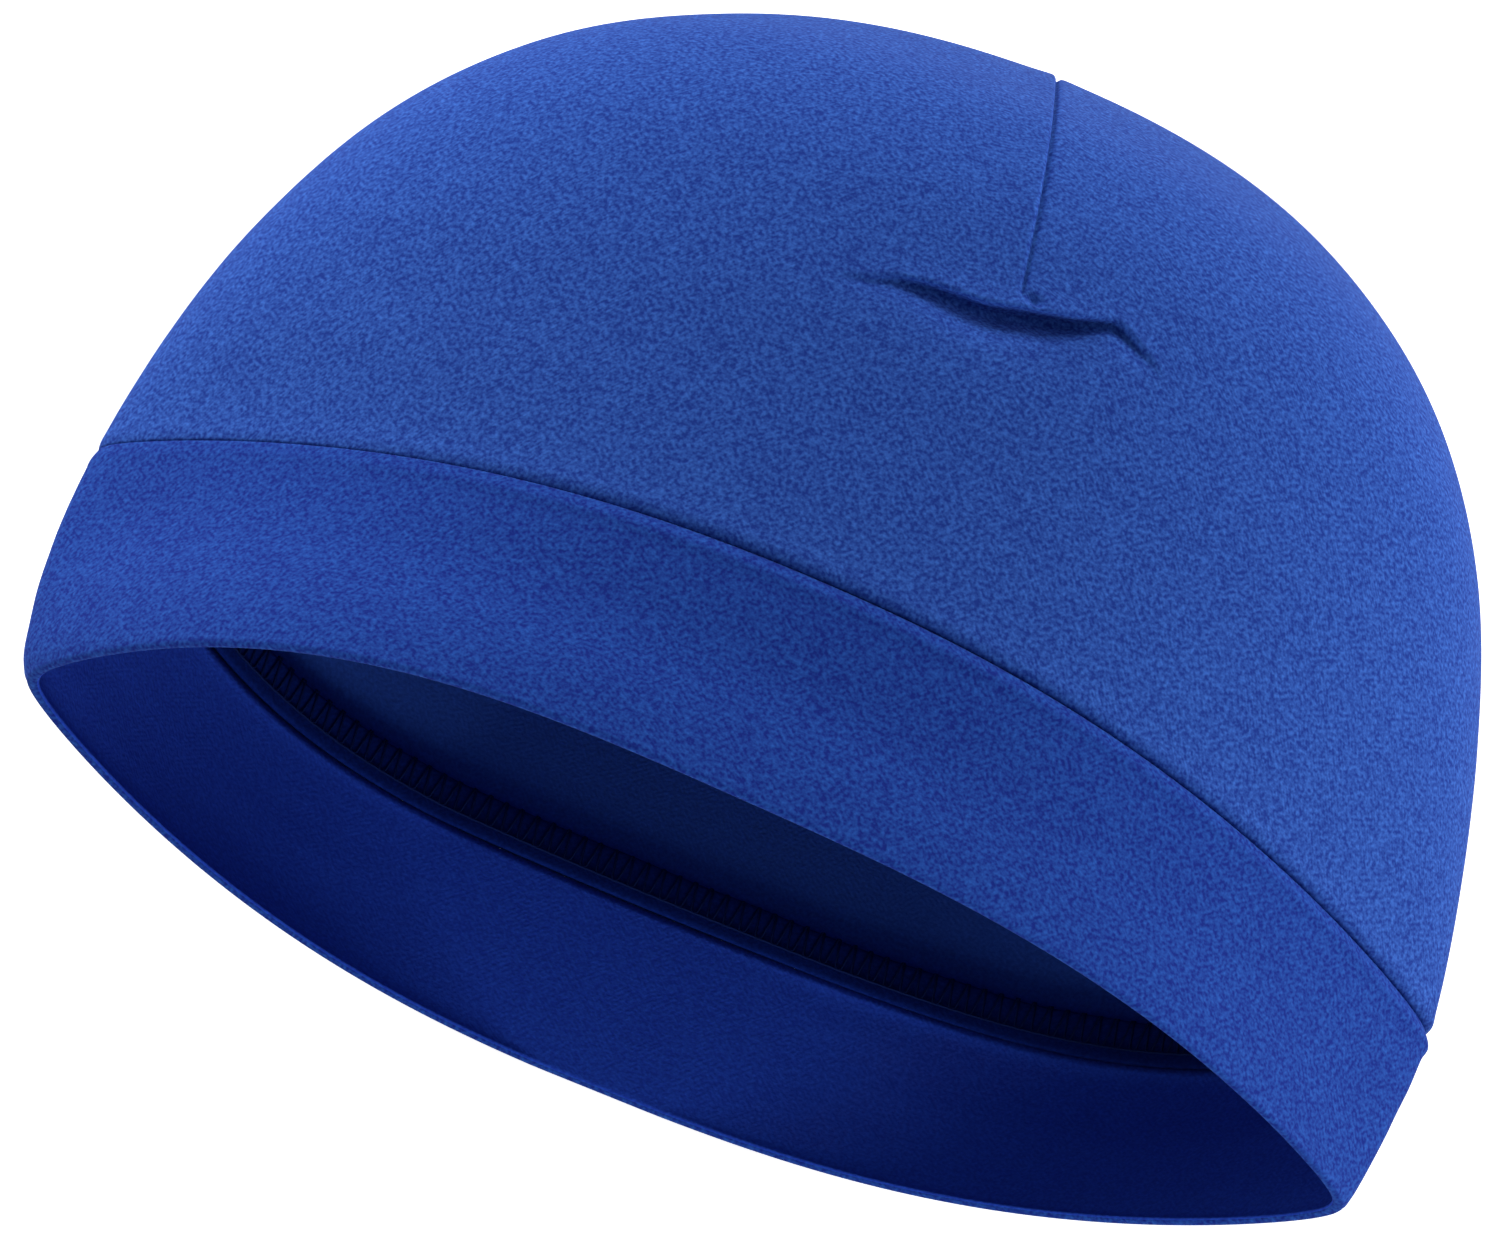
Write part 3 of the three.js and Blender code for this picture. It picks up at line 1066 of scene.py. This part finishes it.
@dataclass
class OverlockThreads:
    """The overlock thread: loops over the strip's cut edge, with the needle thread along their feet."""

    form: CapForm
    strip: SeamAllowance
    stitch_length: float = 2.6
    radius: float = 0.17
    bevel_steps: int = 2
    off_face: float = 0.5  # the thread's middle off the strip's face, by its radius
    needle_line: float = 1.6  # millimetres above the seam
    # One stitch of the looper thread. Each point has its share of the stitch, its share of the way from the
    # needle line to the cut edge, how far past that it is, and how far it stands off
    looper: tuple[tuple[float, float, float, float], ...] = (
        (0.0, 0.0, 0.0, 0.0),
        (0.18, 0.0, 0.25, 0.08),
        (0.3, 0.5, 0.0, 0.05),
        (0.42, 1.0, -0.2, 0.0),
        (0.5, 1.0, 0.15, -0.5),
        (0.58, 1.0, -0.2, 0.0),
        (0.7, 0.5, 0.0, 0.05),
        (0.82, 0.0, 0.25, 0.08),
    )
    needle_points: int = 4
    needle_arch: float = 0.12
    ring_samples: int = 721

    def build(self) -> bpy.types.Object:
        """Builds the two threads as one piece, dresses it and returns it."""
        degrees = np.linspace(0, 360, self.ring_samples)
        ring = self.form.wall(self.form.seam_rank, degrees)
        length = np.concatenate([[0], np.cumsum(np.linalg.norm(np.diff(ring, axis=0), axis=1))])
        stitches = round(length[-1] / self.stitch_length)
        shares = np.linspace(0, 1, self.needle_points, endpoint=False)
        needle = [(share, 0.0, 0.0, self.needle_arch * math.sin(math.pi * share)) for share in shares]
        curve = bpy.data.curves.new("overlock_threads", "CURVE")
        curve.dimensions = "3D"
        curve.bevel_depth = self.radius * MM
        curve.bevel_resolution = self.bevel_steps
        for path in (self.looper, needle):
            spline = curve.splines.new("POLY")
            spline.points.add(stitches * len(path) - 1)
            spline.use_cyclic_u = True
            for number, point in enumerate(spline.points):
                share, *offsets = path[number % len(path)]
                gone = (number // len(path) + share) * length[-1] / stitches
                point.co = (*self._spot(np.interp(gone, length, degrees), *offsets), 1)
        source = bpy.data.objects.new("thread_path", curve)
        mesh = bpy.data.meshes.new_from_object(source)
        mesh.name = "overlock_threads"
        for polygon in mesh.polygons:
            polygon.use_smooth = True
        bpy.data.objects.remove(source)
        bpy.data.curves.remove(curve)
        piece = add_object("overlock_threads", mesh)
        self.dress(piece)
        return piece

    def _spot(self, column: float, way: float, past: float, off: float) -> np.ndarray:
        """Returns a point of a thread.

        Args:
            column: its column in degrees.
            way: its share of the way from the needle line to the cut edge.
            past: how far past that it is.
            off: how far it stands off the strip.

        Returns:
            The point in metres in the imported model's frame.
        """
        height = self.needle_line + way * (self.strip.edge - self.needle_line) + past
        inset = self.strip.outer_inset + self.strip.thickness + self.off_face * self.radius + off
        points = self.form.wall(self.form.rank_near_seam(height), np.array([column]), inset)
        return self.form.place(self.form.rest(points, inset)[0])

    def dress(self, piece: bpy.types.Object) -> None:
        """Gives the threads their polyester."""
        cover(piece, OVERLOCK_THREAD)


@dataclass(frozen=True)
class SoftLight:
    """A soft box: where it stands and how large and strong it is, in metres and watts."""

    name: str
    place: tuple[float, float, float]
    size: float
    power: float


@dataclass
class Studio:
    """The pale floor, the soft light and the camera."""

    form: CapForm
    # The camera's angle above the floor and its turn about its own axis, in degrees, and its distance in mm
    elevation: float = 56.0
    roll: float = 21.95
    distance: float = 1000.0
    pixels_per_mm: float = 6.99
    aim: tuple[float, float, float] = (0.0, 75.0, 0.0)  # in the cap's frame
    aim_pixel: Pair = (851.6, 523.1)  # where the photograph shows it
    sensor: float = 36.0
    clip: Pair = (0.05, 50.0)
    world_light: float = 0.21
    floor_size: float = 12.0
    lights_aim: tuple[float, float, float] = (0.0, 0.0, 0.05)
    lights: tuple[SoftLight, ...] = (
        SoftLight("back_light", (0.0, 0.97, 0.87), 0.7, 6.0),
        SoftLight("left_light", (-1.21, 0.38, 0.29), 0.7, 14.6),
        SoftLight("right_light", (1.21, 0.38, 0.29), 0.7, 14.6),
        SoftLight("fill_light", (0.1, -0.45, 0.1), 0.16, 0.75),
    )

    def camera(self) -> bpy.types.Object:
        """Adds the camera at the viewing angle of the photograph and returns it."""
        tilt, roll = math.radians(self.elevation), math.radians(self.roll)
        ahead = Vector((0, math.cos(tilt), -math.sin(tilt)))
        across = Vector((1, 0, 0))
        upward = across.cross(ahead)
        right = across * math.cos(roll) + upward * math.sin(roll)
        up = upward * math.cos(roll) - across * math.sin(roll)
        aim = Vector(self.form.place(np.array(self.aim)))
        eye = aim - ahead * self.distance * MM
        off_x = (self.aim_pixel[0] - PHOTO_WIDTH / 2) / self.pixels_per_mm * MM
        off_y = (PHOTO_HEIGHT / 2 - self.aim_pixel[1]) / self.pixels_per_mm * MM
        back = (eye - (aim - right * off_x - up * off_y)).normalized()
        side = (right - back * right.dot(back)).normalized()
        data = bpy.data.cameras.new("camera")
        data.sensor_width = self.sensor
        data.lens = self.pixels_per_mm * self.distance / PHOTO_WIDTH * self.sensor
        data.clip_start, data.clip_end = self.clip
        camera = add_object("camera", data)
        turn = Matrix((side, back.cross(side), back)).transposed()
        camera.matrix_world = Matrix.Translation(eye) @ turn.to_4x4()
        bpy.context.scene.camera = camera
        return camera

    def floor(self) -> bpy.types.Object:
        """Adds the floor, which isn't part of the object, and returns it."""
        bm = bmesh.new()
        bmesh.ops.create_grid(bm, x_segments=1, y_segments=1, size=self.floor_size / 2)
        floor = add_mesh("floor", bm)
        cover(floor, BACKDROP_PAPER)
        floor.visible_diffuse = False  # the photograph's backdrop throws no light up under the cap
        return floor

    def light(self) -> None:
        """Lights the scene from the world and from soft boxes."""
        world = bpy.data.worlds.new("studio")
        world.use_nodes = True
        background = world.node_tree.nodes["Background"]
        background.inputs["Color"].default_value = linear("#ffffff")
        background.inputs["Strength"].default_value = self.world_light
        bpy.context.scene.world = world
        bpy.context.scene.view_settings.view_transform = "Standard"
        for box in self.lights:
            data = bpy.data.lights.new(box.name, "AREA")
            data.shape = "DISK"
            data.size = box.size
            data.energy = box.power
            lamp = add_object(box.name, data)
            lamp.location = box.place
            towards = Vector(self.lights_aim) - Vector(box.place)
            lamp.rotation_euler = towards.to_track_quat("-Z", "Y").to_euler()
            lamp.visible_camera = False


def report(piece: bpy.types.Object) -> None:
    """Logs a finished piece."""
    triangles = sum(len(polygon.vertices) - 2 for polygon in piece.data.polygons)
    LOG.info("%s: %d triangles", piece.name, triangles)


def main() -> None:
    """Builds the studio and the cap."""
    form = CapForm()
    columns = Columns().values()
    studio = Studio(form)
    studio.camera()
    studio.floor()
    studio.light()

    crown = Crown(form, columns).build()
    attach(crown, ROOT_BODY)
    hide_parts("crown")
    report(crown)

    band = Band(form, columns).build()
    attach(band, ROOT_BODY)
    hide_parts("band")
    report(band)

    allowance = SeamAllowance(form, columns)
    strip = allowance.build()
    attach(strip, ROOT_BODY)
    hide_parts("seam_allowance")
    report(strip)

    threads = OverlockThreads(form, allowance).build()
    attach(threads, ROOT_BODY)
    report(threads)


if __name__ == "__main__":
    logging.basicConfig(level=logging.INFO, format="%(name)s: %(message)s")
    main()
